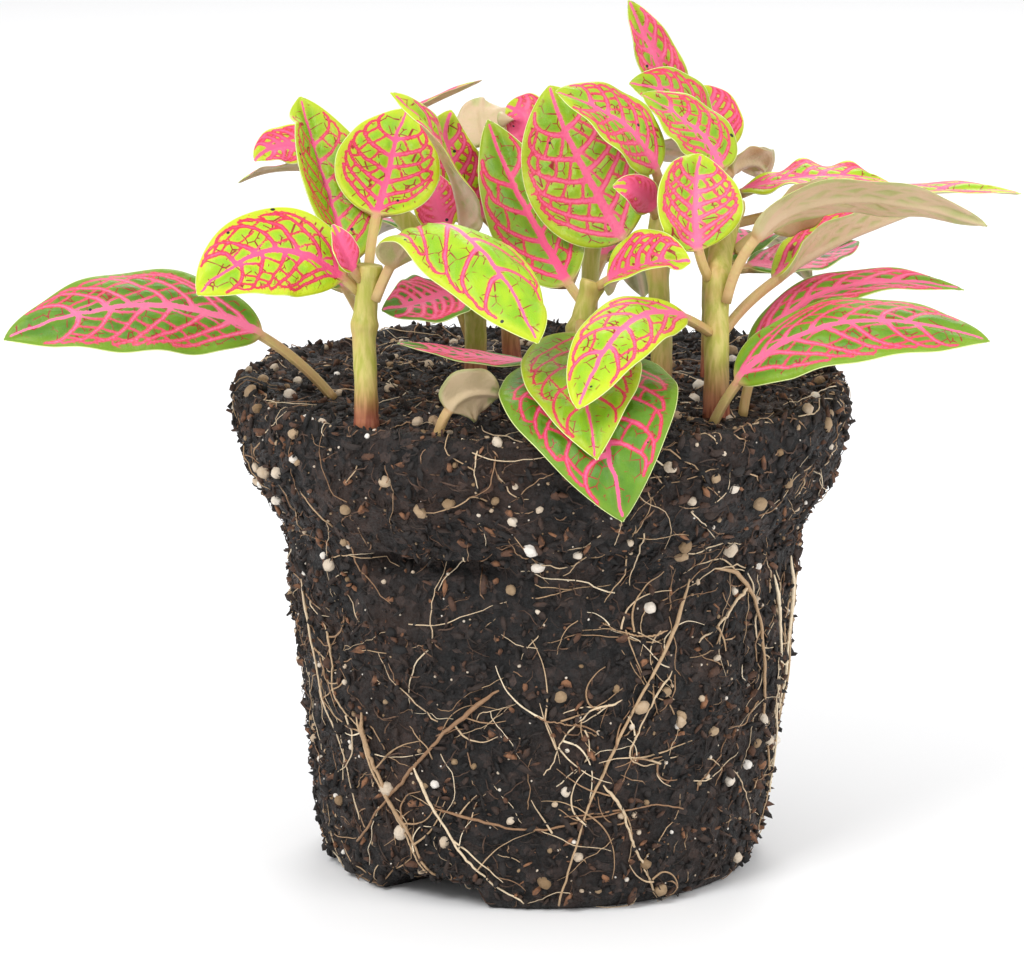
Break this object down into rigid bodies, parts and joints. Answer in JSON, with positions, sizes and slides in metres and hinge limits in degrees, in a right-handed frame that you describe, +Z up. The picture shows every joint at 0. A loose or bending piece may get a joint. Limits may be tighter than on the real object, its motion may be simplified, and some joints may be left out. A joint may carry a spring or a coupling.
{
  "type": "nerve plant with bare root ball",
  "caption": "Nerve plant with pink-veined lime and dark green leaves on short stems, lifted from its pot with a pot-shaped root ball that stands on its flat bottom.",
  "frame": {"origin": "centre of the root ball's flat bottom", "axes": "+Z up along the root ball's axis; -Y towards the plant's front, +X to its right"},
  "size_m": [0.1642, 0.1146, 0.1422],
  "materials": {
    "potting_mix": "rough, crumbly, moist peat and bark with pale perlite and roots",
    "stem": "satin, fleshy, finely hairy, reddish near the soil",
    "young_leaf": "satin lime green with pink veins",
    "mature_leaf": "satin dark green with pink veins"
  },
  "bodies": {
    "root": {"root_ball": "potting_mix", "stem_back": "stem", "stem_back_left": "stem", "stem_back_right": "stem", "stem_centre": "stem", "stem_front": "stem", "stem_left": "stem", "stem_middle": "stem", "stem_rear": "stem", "stem_right": "stem", "leaf_left_side": "young_leaf", "leaf_left_front": "young_leaf", "leaf_left_round": "young_leaf", "leaf_left_tall": "young_leaf", "leaf_left_bud": "young_leaf", "leaf_left_shade": "mature_leaf", "leaf_middle_folded": "young_leaf", "leaf_middle_inner": "young_leaf", "leaf_middle_low": "mature_leaf", "leaf_front_tall": "young_leaf", "leaf_front_curled": "young_leaf", "leaf_front_hanging": "young_leaf", "leaf_front_largest": "mature_leaf", "leaf_front_flat": "mature_leaf", "leaf_centre_large": "young_leaf", "leaf_centre_top": "young_leaf", "leaf_centre_small": "young_leaf", "leaf_right_top": "young_leaf", "leaf_right_round": "young_leaf", "leaf_right_front": "young_leaf", "leaf_right_arched": "young_leaf", "leaf_right_folded": "young_leaf", "leaf_right_inner": "young_leaf", "leaf_far_left": "young_leaf", "leaf_far_left_low": "young_leaf", "leaf_back_blade": "young_leaf", "leaf_back_left_top": "young_leaf", "leaf_back_left_low": "mature_leaf", "leaf_back_pale": "young_leaf", "leaf_back_crown": "young_leaf", "leaf_back_upright": "young_leaf", "leaf_back_low": "mature_leaf", "leaf_rear_middle": "young_leaf", "leaf_rear_left": "young_leaf", "leaf_rear_right": "young_leaf", "leaf_rear_low": "mature_leaf", "leaf_crown": "young_leaf", "leaf_spike": "young_leaf", "leaf_back_right_top": "young_leaf", "leaf_back_right_wavy": "young_leaf", "leaf_far_right": "young_leaf", "leaf_back_right_pale": "young_leaf", "leaf_back_right_shade": "mature_leaf", "leaf_back_right_rear": "young_leaf", "leaf_back_right_low": "mature_leaf", "leaf_low_left": "mature_leaf", "leaf_low_front": "mature_leaf", "leaf_low_right": "mature_leaf", "leaf_low_right_back": "mature_leaf"}
  },
  "joints": []
}
